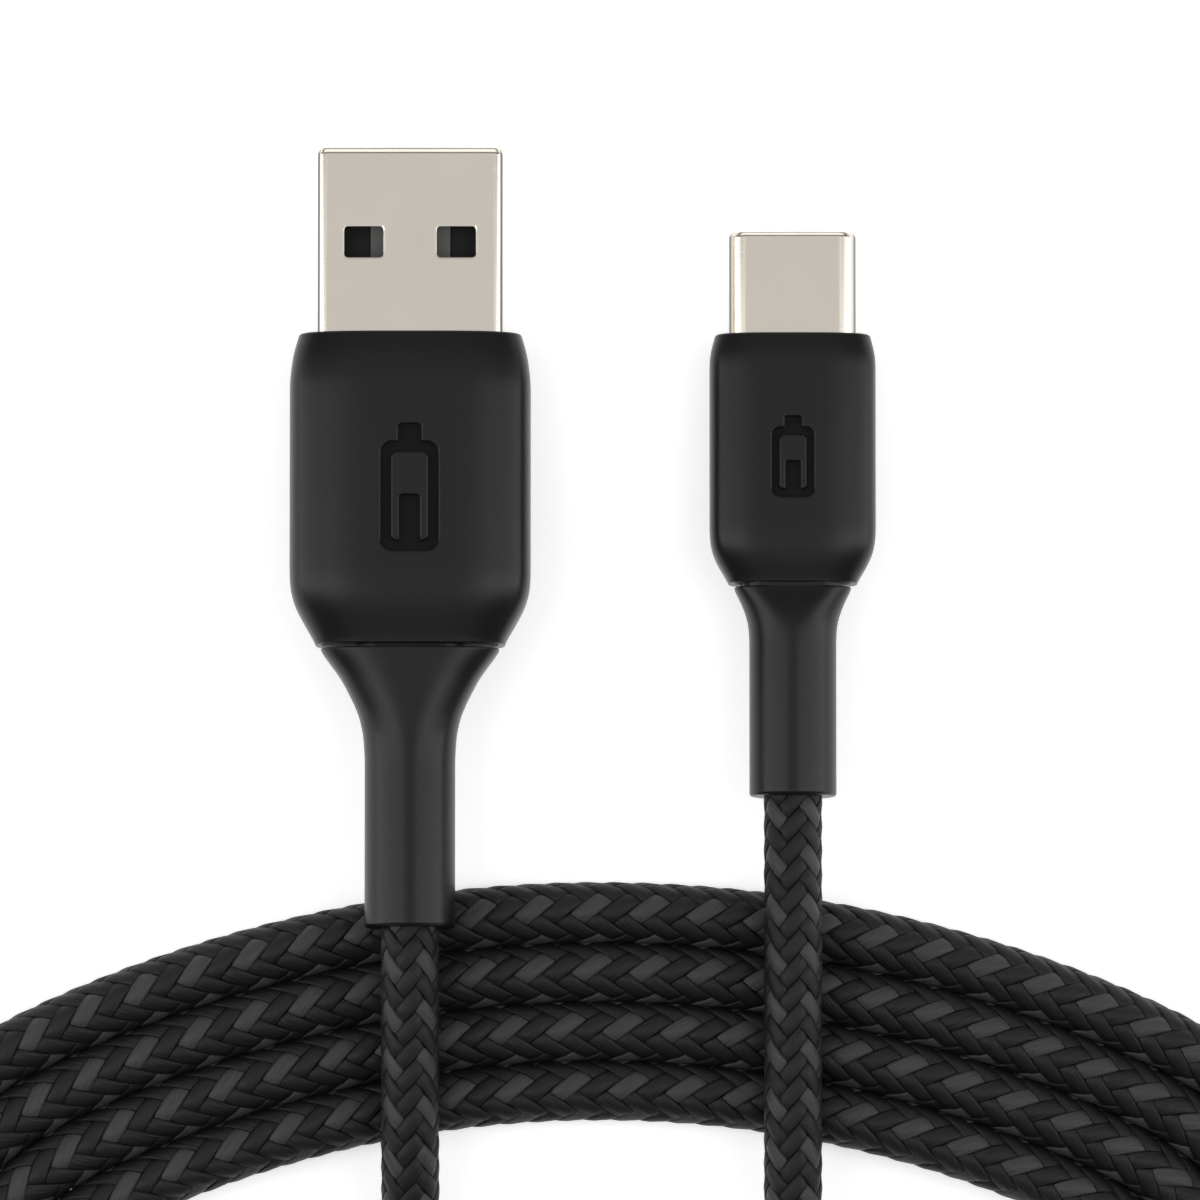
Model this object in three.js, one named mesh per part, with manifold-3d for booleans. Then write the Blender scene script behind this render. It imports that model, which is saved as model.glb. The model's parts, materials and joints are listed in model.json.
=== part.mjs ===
// Charging cable: a USB-A plug and a USB-C plug side by side, joined by one
// coiled braided cord. Millimetres, +Z up from the table, +Y towards the plug tips.
import * as THREE from 'three';
import { mergeVertices } from 'three/addons/utils/BufferGeometryUtils.js';
import Module from 'manifold-3d';

const PLUG_PITCH = 24.82; // between the two plugs' axes
const SHEET = 0.3;
const FIT = 0.05; // clearance between nested pieces
const SEAM = 0.22; // groove between a housing and its boot
const RIDE_GAP = 0.32; // between the coiled cord and the USB-A boot that lies over it

const CORD_D = 3.72;
const LANE_PITCH = CORD_D + 0.12;
const TURNS = 4;
const ARC_R = 86.1; // the outer lane's long arc
const ARC_BELOW = 123.56; // its centre, behind the housings' front faces
const ARC_SIDE = 12.31; // and to the right of the USB-A axis
const BEND_R = 21.4; // the outer lane's two corner turns
const BEND_HALF = 28.58; // their centres, either side of the long arc's centre
const TAIL_BEND = 12; // where each tail turns into or out of the coil

// grip and gripH are the moulded material beside and above a shell, bootWall the
// boot's material round the cord; boot is the boot's own length behind its housing.
const A = {
  shellW: 12.0, shellH: 4.5, reach: 12.06, rear: 6.5, shellR: 0.62, mouth: 0.16,
  grip: 1.82, gripH: 1.75, length: 20.2, boot: 18.3, bootWall: 1.075,
  mouldWall: 0.95, mouldWallH: 1.05, mouldPower: 4.5, front: 1.2,
  window: [2.55, 2.03], windowX: 3.0, windowFromTip: 6.15,
};
const C = {
  shellW: 8.25, shellH: 2.4, reach: 6.72, rear: 5.4, shellR: 1.19, mouth: 0.12,
  grip: 1.275, gripH: 1.8, length: 16.2, boot: 13.8, bootWall: 0.965,
  mouldWall: 0.725, mouldWallH: 1.05, mouldPower: 5, front: 1.1,
};
for (const plug of [A, C]) {
  plug.half = plug.shellW / 2 + plug.grip;
  plug.halfH = plug.shellH / 2 + plug.gripH;
  plug.neck = CORD_D / 2 + plug.bootWall;
  plug.bootEnd = plug.length + plug.boot;
}
// A housing narrows by these amounts at these distances behind its front face...
const A_NOSE = [[0, 0.64], [0.8, 0.35], [1.75, 0.15], [3.05, 0]];
const C_NOSE = [[0, 0.4], [0.8, 0.13], [1.6, 0]];
// ...and at these distances ahead of its rear face.
const A_TAIL = [[4.5, 0], [3.5, 0.07], [2.5, 0.36], [1.6, 0.84], [0.8, 1.3], [0, 1.77]];
const C_TAIL = [[3.3, 0], [2.4, 0.08], [1.7, 0.3], [0.8, 0.78], [0, 1.32]];
const HEIGHT_SHARE = 0.52; // a housing's height narrows by this much of its half width
// Boots: distance behind the housing, how much of its spread is left, squareness.
const A_BOOT = [
  [SEAM, 1, 3.4], [2.1, 0.53, 3.1], [3.5, 0.283, 2.8], [4.6, 0.123, 2.5],
  [5.8, 0.033, 2.2], [7.3, 0, 2],
];
const C_BOOT = [[SEAM, 1, 3.2], [1.0, 0.6, 2.8], [1.8, 0.284, 2.4], [2.6, 0.064, 2.1], [3.5, 0, 2]];
const BOOT_LIP = 0.22; // rounding at a boot's cord end

// A plug tilts nose down, and stands on the lowest point of its housing.
function stations(plug, nose, tail) {
  return [...nose, ...tail.map(([ahead, narrow]) => [plug.length - ahead, narrow])];
}
const A_ROWS = stations(A, A_NOSE, A_TAIL);
const C_ROWS = stations(C, C_NOSE, C_TAIL);
function standing(plug, rows, tilt) {
  const lows = rows.map(([s, narrow]) => s * Math.sin(tilt)
    - (plug.halfH - narrow * HEIGHT_SHARE) * Math.cos(tilt));
  return -Math.min(...lows);
}
let NOSE_DOWN = 0;
for (let i = 0; i < 12; i++) {
  const rise = CORD_D + RIDE_GAP + A.neck - standing(A, A_ROWS, NOSE_DOWN);
  NOSE_DOWN = Math.asin(rise / A.bootEnd);
}
const heightA = standing(A, A_ROWS, NOSE_DOWN);
const heightC = standing(C, C_ROWS, NOSE_DOWN);

const wasm = await Module();
wasm.setup();

function toSolid(geometry) {
  let bare = geometry.clone();
  bare.deleteAttribute('normal');
  bare.deleteAttribute('uv');
  bare = mergeVertices(bare, 1e-5);
  const mesh = new wasm.Mesh({
    numProp: 3,
    vertProperties: new Float32Array(bare.attributes.position.array),
    triVerts: new Uint32Array(bare.index.array),
  });
  return new wasm.Manifold(mesh);
}

function toGeometry(solid) {
  const mesh = solid.getMesh();
  const geometry = new THREE.BufferGeometry();
  const positions = new THREE.BufferAttribute(new Float32Array(mesh.vertProperties), 3);
  geometry.setAttribute('position', positions);
  geometry.setIndex(new THREE.BufferAttribute(new Uint32Array(mesh.triVerts), 1));
  return geometry;
}

// A closed skin over sections that share a point count, the first one nearest the tip.
function loft(sections) {
  const count = sections[0].points.length;
  const positions = [];
  for (const { y, points } of sections) {
    for (const [x, z] of points) {
      positions.push(x, y, z);
    }
  }
  const index = [];
  for (let i = 0; i + 1 < sections.length; i++) {
    for (let j = 0; j < count; j++) {
      const k = (j + 1) % count;
      const a = i * count + j;
      const b = i * count + k;
      index.push(a, b, a + count, b, b + count, a + count);
    }
  }
  const ends = [[sections[0], 0, 1], [sections.at(-1), sections.length - 1, -1]];
  for (const [section, row, side] of ends) {
    const centre = positions.length / 3;
    positions.push(0, section.y, 0);
    for (let j = 0; j < count; j++) {
      const a = row * count + j;
      const b = row * count + (j + 1) % count;
      index.push(centre, ...(side > 0 ? [b, a] : [a, b]));
    }
  }
  const geometry = new THREE.BufferGeometry();
  geometry.setAttribute('position', new THREE.Float32BufferAttribute(positions, 3));
  geometry.setIndex(index);
  return toSolid(geometry);
}

// Points round a superellipse: power 2 is an ellipse, higher is squarer.
function superellipse(half, halfH, power, count = 36) {
  const points = [];
  for (let j = 0; j < count; j++) {
    const t = (j / count) * 2 * Math.PI;
    const c = Math.cos(t);
    const s = Math.sin(t);
    const x = half * Math.sign(c) * Math.abs(c) ** (2 / power);
    const z = halfH * Math.sign(s) * Math.abs(s) ** (2 / power);
    points.push([x, z]);
  }
  return points;
}

// Points round a rectangle with round corners.
function roundRect(half, halfH, r, perCorner = 5) {
  const points = [];
  for (const [sx, sz, from] of [[1, 1, 0], [-1, 1, 1], [-1, -1, 2], [1, -1, 3]]) {
    for (let j = 0; j < perCorner; j++) {
      const t = (from + j / (perCorner - 1)) * Math.PI / 2;
      points.push([sx * (half - r) + r * Math.cos(t), sz * (halfH - r) + r * Math.sin(t)]);
    }
  }
  return points;
}

// A straight bar along Y with a round-cornered section, from y0 down to y1.
function bar(half, halfH, r, y0, y1, x = 0, z = 0, perCorner = 5) {
  const points = roundRect(half, halfH, r, perCorner);
  return loft([{ y: y0, points }, { y: y1, points }]).translate([x, 0, z]);
}

function box(x0, x1, y0, y1, z0, z1) {
  const geometry = new THREE.BoxGeometry(x1 - x0, y1 - y0, z1 - z0);
  geometry.translate((x0 + x1) / 2, (y0 + y1) / 2, (z0 + z1) / 2);
  return toSolid(geometry);
}

function rod(radius, y0, y1, sides = 24) {
  const geometry = new THREE.CylinderGeometry(radius, radius, y0 - y1, sides);
  geometry.translate(0, (y0 + y1) / 2, 0);
  return toSolid(geometry);
}

// A round section swept along points, as an extrusion with an extrude path.
function sweep(points, radius, sides, steps) {
  const path = new THREE.CatmullRomCurve3(points.map((p) => new THREE.Vector3(...p)));
  const shape = new THREE.Shape();
  shape.absarc(0, 0, radius, 0, 2 * Math.PI, false);
  return new THREE.ExtrudeGeometry(shape, {
    steps, extrudePath: path, curveSegments: sides / 2, bevelEnabled: false,
  });
}

const cable = new THREE.Group();
cable.name = 'charging_cable';

const FINISH = {
  nickel: { color: 0xc8c0b4, metalness: 1, roughness: 0.28 },
  gold: { color: 0xd9a441, metalness: 1, roughness: 0.25 },
  steel: { color: 0xa9abad, metalness: 1, roughness: 0.35 },
  grip: { color: 0x2b2b2c, metalness: 0, roughness: 0.62 },
  black: { color: 0x141415, metalness: 0, roughness: 0.5 },
  mould: { color: 0xd8d4c8, metalness: 0, roughness: 0.6 },
  board: { color: 0x1f4a33, metalness: 0, roughness: 0.45 },
  chip: { color: 0x19191b, metalness: 0, roughness: 0.4 },
  braid: { color: 0x333335, metalness: 0, roughness: 0.7 },
  red: { color: 0xb3261e, metalness: 0, roughness: 0.5 },
  white: { color: 0xe6e6e2, metalness: 0, roughness: 0.5 },
  green: { color: 0x2c7a3f, metalness: 0, roughness: 0.5 },
};

function place(parent, name, shape, finish) {
  const geometry = shape instanceof wasm.Manifold ? toGeometry(shape) : shape;
  const mesh = new THREE.Mesh(geometry, new THREE.MeshStandardMaterial(FINISH[finish]));
  mesh.name = name;
  parent.add(mesh);
}

// The grip's outer skin, from its front face at y = 0 back to its rear face.
function gripSkin(plug, rows) {
  return loft(rows.map(([s, narrow]) => ({
    y: -s,
    points: superellipse(plug.half - narrow, plug.halfH - narrow * HEIGHT_SHARE, 3.6, 40),
  })));
}

// The boot starts as wide as its housing's rear, less a step, and ends as a round neck.
function bootSkin(plug, rows, step) {
  const narrow = (plug === A ? A_TAIL : C_TAIL).at(-1)[1];
  const wide = plug.half - narrow - step - plug.neck;
  const high = plug.halfH - narrow * HEIGHT_SHARE - step * 0.5 - plug.neck;
  const skin = rows.map(([behind, spread, power]) => ({
    y: -plug.length - behind,
    points: superellipse(plug.neck + wide * spread, plug.neck + high * spread, power, 32),
  }));
  for (const [ahead, less] of [[5, 0], [BOOT_LIP, 0], [0, BOOT_LIP]]) {
    const r = plug.neck - less;
    skin.push({ y: -plug.bootEnd + ahead, points: superellipse(r, r, 2, 32) });
  }
  return loft(skin);
}

// A sunk battery sign: outline, terminal and a level bar. Its terminal points to the tip.
function batterySign(width, length, y, top, depth) {
  const line = width * 0.17;
  const body = length * 0.86;
  const low = y - length / 2;
  const r = width * 0.2;
  const flat = (w, h, radius, cy) => {
    const points = roundRect(w / 2, h / 2, radius, 4);
    const shape = new THREE.Shape(points.map(([px, py]) => new THREE.Vector2(px, py)));
    const plate = new THREE.ExtrudeGeometry(shape, { depth: 3, bevelEnabled: false });
    plate.translate(0, cy, top - depth);
    return toSolid(plate);
  };
  const outline = flat(width, body, r, low + body / 2)
    .subtract(flat(width - 2 * line, body - 2 * line, r * 0.5, low + body / 2));
  const terminal = flat(width * 0.4, length * 0.16, r * 0.3, y + length * 0.42);
  const level = flat(width - 3.8 * line, body * 0.42, r * 0.3, low + body * 0.3);
  return outline.add(terminal).add(level);
}

// Folded sheet tube, open at both ends, with a slightly rolled-in mouth.
function sheetTube(plug, wall) {
  const half = plug.shellW / 2;
  const halfH = plug.shellH / 2;
  const skin = (inset) => roundRect(half - inset, halfH - inset, plug.shellR - inset, 7);
  const outer = loft([
    { y: plug.reach, points: skin(plug.mouth) },
    { y: plug.reach - plug.mouth * 1.6, points: skin(0) },
    { y: -plug.rear, points: skin(0) },
  ]);
  const r = plug.shellR - wall;
  const inner = bar(half - wall, halfH - wall, r, plug.reach + 1, -plug.rear - 1, 0, 0, 7);
  return outer.subtract(inner);
}

// The space that a plug's shell takes up, grown by the clearance.
function shellRoom(plug, y1) {
  const r = plug.shellR + FIT;
  return bar(plug.shellW / 2 + FIT, plug.shellH / 2 + FIT, r, 1, y1, 0, 0, 7);
}

// The inner mould's skin, from behind the front wall to a distance ahead of the rear.
function mouldSkin(plug, ahead, grow) {
  const half = plug.shellW / 2 + plug.mouldWall + grow;
  const halfH = plug.shellH / 2 + plug.mouldWallH + grow;
  const points = superellipse(half, halfH, plug.mouldPower, 40);
  return loft([{ y: -plug.front + grow, points }, { y: -plug.length + ahead - grow, points }]);
}

// The boot has a spigot that the housing's rear opening holds, and a bore for the cord.
const SPIGOT_WALL = 0.35;
function spigotHalf(plug) {
  return [plug.neck + plug.bootWall * 0.5, CORD_D / 2 + SPIGOT_WALL];
}
function boot(plug, rows, step, spigotFront) {
  const [half, halfH] = spigotHalf(plug);
  const bore = rod(CORD_D / 2 + FIT, -spigotFront + 1, -plug.bootEnd - 1);
  const spigot = bar(half, halfH, halfH * 0.6, -spigotFront, -plug.length - SEAM - 1);
  return bootSkin(plug, rows, step).add(spigot).subtract(bore);
}
function spigotHole(plug, y0) {
  const [half, halfH] = spigotHalf(plug);
  return bar(half + FIT, halfH + FIT, halfH * 0.6 + FIT, y0, -plug.length - 1);
}

// Four conductors, each from its solder joint to its place in the cord's jacket end.
const CONDUCTORS = ['black', 'green', 'white', 'red'];
function conductors(group, prefix, startX, startY, startZ, endY, r) {
  CONDUCTORS.forEach((colour, i) => {
    const x = startX[i];
    const away = (i - 1.5) * CORD_D * 0.14;
    const run = endY - startY;
    const wire = sweep([
      [x, startY, startZ], [x, startY + run * 0.2, startZ],
      [x * 0.62 + away * 0.38, startY + run * 0.55, startZ + 0.2],
      [away * 1.1, startY + run * 0.83, startZ * 0.5], [away, endY, 0],
    ], r, 6, 9);
    place(group, `${prefix}_wire_${colour}`, wire, colour);
  });
}

// The cord's jacket end that a boot and housing hold.
function cordEnd(plug, ahead) {
  return rod(CORD_D / 2 - 0.02, -plug.length + ahead, -plug.bootEnd + 0.02);
}

// ---- USB-A plug ----
const plugA = new THREE.Group();
plugA.rotation.x = -NOSE_DOWN;
{
  const winY = A.reach - A.windowFromTip;
  let shell = sheetTube(A, SHEET);
  for (const side of [-1, 1]) {
    const window = bar(A.window[0] / 2, A.shellH, 0.01, winY + A.window[1] / 2,
      winY - A.window[1] / 2, side * A.windowX, 0, 2);
    shell = shell.subtract(window);
  }
  place(plugA, 'usb_a_shell', shell, 'nickel');

  // The block lies in the lower half of the shell; its rear fills the full height.
  const inW = A.shellW / 2 - SHEET - FIT - 0.3;
  const inH = A.shellH / 2 - SHEET - FIT;
  const top = -0.15;
  const cover = A.reach - 4.86;
  const land = A.windowX - 0.42;
  const contactX = [-3.5, -1, 1, 3.5];
  let block = box(-inW, inW, -A.rear, A.reach - 0.85, -inH, top)
    .add(box(-inW, inW, -A.rear, -1.0, -inH + 0.3, inH))
    .add(box(-inW, inW, -1.2, cover, -0.5, top + 0.17))
    .add(box(-land, land, -1.2, cover, -0.5, top + 0.6));
  for (const x of contactX) {
    const groove = box(x - 0.55, x + 0.55, -A.rear - 1, A.reach - 1.35, top - 0.3, top);
    block = block.subtract(groove);
  }
  place(plugA, 'usb_a_insulator', block, 'black');
  const solderTail = 1.9;
  contactX.forEach((x, i) => {
    const strip = box(x - 0.5, x + 0.5, -A.rear - solderTail, A.reach - 1.45, top - 0.25, top - FIT);
    place(plugA, `usb_a_contact_${i + 1}`, strip, 'gold');
  });

  // The jacket ends behind the contacts; its collar is strapped to the shell's corners.
  const jacket = 6.3;
  const jacketY = -A.length + jacket;
  const wireR = 0.24;
  conductors(plugA, 'usb_a', contactX, -A.rear - 0.7, top + wireR + 0.07, jacketY + FIT, wireR);
  place(plugA, 'usb_a_cord_end', cordEnd(A, jacket), 'braid');
  const collarR = CORD_D / 2 + 0.32;
  const strapX = Math.max(collarR, contactX[3] + 0.5) + 0.8;
  let collar = rod(collarR, jacketY - 0.4, jacketY - 2.1);
  for (const side of [-1, 1]) {
    const [x0, x1] = side < 0 ? [-strapX, -CORD_D / 2 - 0.15] : [CORD_D / 2 + 0.15, strapX];
    const [e0, e1] = side < 0 ? [-strapX, -strapX + 0.3] : [strapX - 0.3, strapX];
    collar = collar.add(box(x0, x1, jacketY - 1.0, jacketY - 0.6, -0.35, 0.35))
      .add(box(e0, e1, jacketY - 1.0, -A.rear - 0.3, -0.9, 0.9));
  }
  collar = collar.subtract(rod(CORD_D / 2 + FIT, jacketY + 1, jacketY - 3));
  place(plugA, 'usb_a_crimp_collar', collar, 'steel');

  // Inner mould: it fills the grip around the shell's rear, the wires and the collar.
  const wireRoom = box(-strapX - 0.15, strapX + 0.15, jacketY - 1.1, -A.rear, -1.5, 1.5);
  const mould = mouldSkin(A, 3.4, 0)
    .subtract(shellRoom(A, -A.rear - FIT))
    .subtract(wireRoom)
    .subtract(rod(collarR + 0.08, jacketY + 0.1, -A.length));
  place(plugA, 'usb_a_inner_mould', mould, 'mould');

  const grip = gripSkin(A, A_ROWS)
    .subtract(mouldSkin(A, 3.4, FIT))
    .subtract(shellRoom(A, -A.front - 1))
    .subtract(spigotHole(A, -A.length + 4))
    .subtract(batterySign(3.7, 8.2, -A.length / 2 - 0.1, A.halfH, 0.2));
  place(plugA, 'usb_a_housing', grip, 'grip');
  place(plugA, 'usb_a_boot', boot(A, A_BOOT, 0.15, A.length - 3.2), 'grip');
}

// ---- USB-C plug ----
const plugC = new THREE.Group();
plugC.rotation.x = -NOSE_DOWN;
{
  const wall = 0.25;
  place(plugC, 'usb_c_shell', sheetTube(C, wall), 'nickel');

  const inW = C.shellW / 2 - wall - FIT;
  const inH = C.shellH / 2 - wall - FIT;
  const contactZ = inH - 0.31;
  const setHalf = inW - 0.825;
  const slotHalf = inW - 0.625;
  const latchX = slotHalf + 0.22;
  let block = bar(inW, inH, inH - 0.01, C.reach - 0.42, -5.0)
    .subtract(box(-slotHalf, slotHalf, 0.7, C.reach + 1, -0.44, 0.44));
  for (const side of [-1, 1]) {
    const z = side * contactZ;
    block = block.subtract(box(-setHalf, setHalf, -6, C.reach - 1.1, z - 0.19, z + 0.19));
    const x = side * (latchX + 0.02);
    block = block.subtract(box(x - 0.26, x + 0.26, -6, C.reach - 1.1, -0.3, 0.3));
  }
  place(plugC, 'usb_c_insulator', block, 'black');

  // Each contact set: twelve fingers on one carrier bar, with tails onto the board.
  const fingers = 12;
  const fingerPitch = (2 * setHalf - 0.3) / (fingers - 0.5);
  for (const [name, side] of [['upper', 1], ['lower', -1]]) {
    const [z0, z1] = [side * (contactZ - 0.12), side * (contactZ + 0.01)].sort((a, b) => a - b);
    let set = box(-setHalf + 0.1, setHalf - 0.1, -4.7, -4.1, z0, z1);
    for (let i = 0; i < fingers; i++) {
      const x = (i - (fingers - 1) / 2) * fingerPitch;
      const finger = box(x - fingerPitch / 4, x + fingerPitch / 4, -5.9, C.reach - 1.3, z0, z1);
      set = set.add(finger);
    }
    place(plugC, `usb_c_contacts_${name}`, set, 'gold');
  }
  for (const [name, side] of [['left', -1], ['right', 1]]) {
    const across = (from, to) => [side * from, side * to].sort((a, b) => a - b);
    const latch = box(...across(latchX - 0.15, latchX), -4.9, C.reach - 1.5, -0.25, 0.25)
      .add(box(...across(latchX - 0.4, latchX), C.reach - 2.4, C.reach - 1.9, -0.25, 0.25));
    place(plugC, `usb_c_latch_${name}`, latch, 'steel');
  }

  const jacket = 4.0;
  const jacketY = -C.length + jacket;
  const boardRear = jacketY + 2.6;
  const wireR = 0.22;
  const boardTop = 0.3;
  place(plugC, 'usb_c_board', box(-inW + 0.2, inW - 0.2, boardRear, -5.2, -boardTop, boardTop),
    'board');
  const chip = box(-0.5, 0.5, -7.2, -6.7, boardTop + 0.04, boardTop + 0.4);
  place(plugC, 'usb_c_resistor', chip, 'chip');
  const padX = [-2.25, -0.75, 0.75, 2.25];
  conductors(plugC, 'usb_c', padX, boardRear + 1.1, boardTop + wireR + 0.08, jacketY + FIT, wireR);
  place(plugC, 'usb_c_cord_end', cordEnd(C, jacket), 'braid');

  // The shield can wraps the shell's rear and the board, and stays open at both ends.
  const canRear = jacketY + 1.2;
  const canIn = [C.shellW / 2 + 0.125, C.shellH / 2 + 0.2];
  const can = bar(canIn[0] + 0.2, canIn[1] + 0.2, 0.9, -1.5, canRear)
    .subtract(bar(canIn[0], canIn[1], 0.75, 0, canRear - 1));
  place(plugC, 'usb_c_shield_can', can, 'steel');

  const mould = mouldSkin(C, 2.8, 0)
    .subtract(shellRoom(C, -2))
    .subtract(bar(canIn[0] + 0.25, canIn[1] + 0.25, 0.9, -1.5 + FIT, canRear - FIT))
    .subtract(box(-2.6, 2.6, jacketY + 0.1, canRear + 1, -1.2, 1.2))
    .subtract(rod(CORD_D / 2 + FIT, jacketY + 0.3, -C.length));
  place(plugC, 'usb_c_inner_mould', mould, 'mould');

  const grip = gripSkin(C, C_ROWS)
    .subtract(mouldSkin(C, 2.8, FIT))
    .subtract(shellRoom(C, -C.front - 1))
    .subtract(spigotHole(C, -C.length + 3.4))
    .subtract(batterySign(2.7, 5.2, -C.length / 2, C.halfH, 0.2));
  place(plugC, 'usb_c_housing', grip, 'grip');
  place(plugC, 'usb_c_boot', boot(C, C_BOOT, 0.2, C.length - 2.6), 'grip');
}

plugA.position.set(0, 0, heightA);
plugC.position.set(PLUG_PITCH, 0, heightC);
cable.add(plugA, plugC);

// ---- Cord ----
// The turns lie flat: a long arc across the top, two corner bends and a straight base.
const radius = CORD_D / 2;
const bendDrop = Math.sqrt((ARC_R - BEND_R) ** 2 - BEND_HALF ** 2);
const bendY = -ARC_BELOW + bendDrop;
const tangent = Math.atan2(bendDrop, BEND_HALF);

function ringPath(target, arcR, bendR) {
  target.absarc(ARC_SIDE, -ARC_BELOW, arcR, tangent, Math.PI - tangent, false);
  target.absarc(ARC_SIDE - BEND_HALF, bendY, bendR, Math.PI - tangent, 1.5 * Math.PI, false);
  target.absarc(ARC_SIDE + BEND_HALF, bendY, bendR, -0.5 * Math.PI, tangent, false);
  target.closePath();
  return target;
}
const bandWidth = (TURNS - 1) * LANE_PITCH;
const ring = ringPath(new THREE.Shape(), ARC_R + radius, BEND_R + radius);
ring.holes.push(ringPath(new THREE.Path(), ARC_R - bandWidth - radius, BEND_R - bandWidth - radius));
const coil = new THREE.ExtrudeGeometry(ring, {
  depth: CORD_D, curveSegments: 20, bevelEnabled: false,
});
place(cable, 'cord_coil', coil, 'braid');

// Height above the table of a cord that lies on the coil, and where the plugs' axes end.
const onTop = CORD_D + radius;
const sinT = Math.sin(NOSE_DOWN);
const cosT = Math.cos(NOSE_DOWN);
const leave = (plug, height, x, more) => [
  x, -(plug.bootEnd + more) * cosT, height + (plug.bootEnd + more) * sinT,
];
const baseY = bendY - BEND_R + bandWidth; // the inner lane's straight base

// Points on a level bend of the cord, from one angle to another about its centre.
function bend(x, y, r, from, to, z, count = 5) {
  return Array.from({ length: count }, (_, i) => {
    const t = THREE.MathUtils.degToRad(from + (to - from) * i / (count - 1));
    return [x + r * Math.cos(t), y + r * Math.sin(t), z];
  });
}

// The first tail crosses the arc, drops to the table and turns towards the inner lane.
const tailA = sweep([
  leave(A, heightA, 0, 0.3), leave(A, heightA, 0, 3.0),
  [0, -46.5, onTop + 0.75], [0, -52.2, onTop + 0.3], [0, -56, 4.6],
  [0, -60, 2.75], [0, baseY + TAIL_BEND, radius + 0.12],
  ...bend(TAIL_BEND, baseY + TAIL_BEND, TAIL_BEND, 192, 221, radius + 0.04, 4),
], radius, 8, 20);
place(cable, 'cord_tail_a', tailA, 'braid');

// The second tail leaves the outer lane above the base, and runs over the arc to its plug.
const overBand = onTop + 0.3;
const outerBase = bendY - BEND_R;
const tailC = sweep([
  leave(C, heightC, PLUG_PITCH, 0.3), leave(C, heightC, PLUG_PITCH, 3.0),
  [PLUG_PITCH, -38, overBand + 0.1], [PLUG_PITCH, -45, overBand],
  [PLUG_PITCH, -51.8, overBand], [PLUG_PITCH, -57, 5.2], [PLUG_PITCH, -62.5, 4.8],
  [PLUG_PITCH, -68, 5.2],
  ...bend(PLUG_PITCH - TAIL_BEND, outerBase + TAIL_BEND, TAIL_BEND, 0, -90, overBand, 6),
  [PLUG_PITCH - TAIL_BEND - 6, outerBase, overBand],
  [PLUG_PITCH - TAIL_BEND - 12, outerBase, overBand],
], radius, 8, 34);
place(cable, 'cord_tail_c', tailC, 'braid');

// The origin is on the table, below the middle of the two plugs.
cable.updateMatrixWorld(true);
const plugs = new THREE.Box3().expandByObject(plugA, true).expandByObject(plugC, true);
const middle = plugs.getCenter(new THREE.Vector3());
for (const part of cable.children) {
  part.position.x -= middle.x;
  part.position.y -= middle.y;
}
cable.updateMatrixWorld(true);

export default cable;
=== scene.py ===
import json
import math

import bpy
import numpy as np
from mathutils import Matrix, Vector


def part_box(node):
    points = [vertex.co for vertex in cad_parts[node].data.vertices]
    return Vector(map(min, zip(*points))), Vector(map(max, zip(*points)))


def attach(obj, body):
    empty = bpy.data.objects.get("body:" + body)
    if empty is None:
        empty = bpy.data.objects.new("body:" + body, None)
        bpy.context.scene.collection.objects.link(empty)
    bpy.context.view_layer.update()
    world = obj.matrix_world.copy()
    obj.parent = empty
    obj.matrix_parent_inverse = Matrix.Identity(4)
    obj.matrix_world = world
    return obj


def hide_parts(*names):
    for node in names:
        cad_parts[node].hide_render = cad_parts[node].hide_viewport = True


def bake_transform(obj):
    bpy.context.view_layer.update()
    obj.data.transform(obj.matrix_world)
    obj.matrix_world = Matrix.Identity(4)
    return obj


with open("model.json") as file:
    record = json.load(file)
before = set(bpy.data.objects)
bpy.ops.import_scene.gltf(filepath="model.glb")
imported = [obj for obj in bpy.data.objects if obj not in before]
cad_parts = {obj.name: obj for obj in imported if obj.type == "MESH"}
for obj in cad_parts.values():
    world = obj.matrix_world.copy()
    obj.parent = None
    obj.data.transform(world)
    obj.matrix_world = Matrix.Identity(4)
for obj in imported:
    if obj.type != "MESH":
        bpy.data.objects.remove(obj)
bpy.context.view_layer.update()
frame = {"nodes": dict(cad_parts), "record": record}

# ------------------------------------------------------------------ the table
# A plain white sheet of coated board, far wider than the cable, that the cable
# lies on. Its fine tooth keeps the soft contact shadows from looking airbrushed.


class Value:
    """A number on its way through a material: an expression on it adds Math nodes."""

    def __init__(self, finish, socket):
        self.finish = finish
        self.socket = socket

    def maths(self, operation, *terms):
        """One Math node on the terms, which are values or plain numbers."""
        sockets = dict(enumerate(terms))
        return self.finish.node("ShaderNodeMath", {"operation": operation}, sockets)

    def __add__(self, other):
        return self.maths("ADD", self, other)

    def __radd__(self, other):
        return self.maths("ADD", other, self)

    def __mul__(self, other):
        return self.maths("MULTIPLY", self, other)

    def __rmul__(self, other):
        return self.maths("MULTIPLY", other, self)


class Nodes:
    """A node tree, whose maker adds nodes to it by node()."""

    def __init__(self, tree):
        self.tree = tree

    def node(self, kind, settings=None, sockets=None, output=0):
        """A node of that kind: its settings first, then the values or links of its sockets."""
        made = self.tree.nodes.new(kind)
        for name, setting in (settings or {}).items():
            if name == "stops":
                ramp = made.color_ramp.elements
                while len(ramp) < len(setting):
                    ramp.new(0.5)
                for element, (position, colour) in zip(ramp, setting):
                    element.position, element.color = position, (*colour, 1)
            else:
                setattr(made, name, setting)
        for key, given in (sockets or {}).items():
            if isinstance(given, Value):
                self.tree.links.new(given.socket, made.inputs[key])
            else:
                made.inputs[key].default_value = given
        return Value(self, made.outputs[output])


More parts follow.
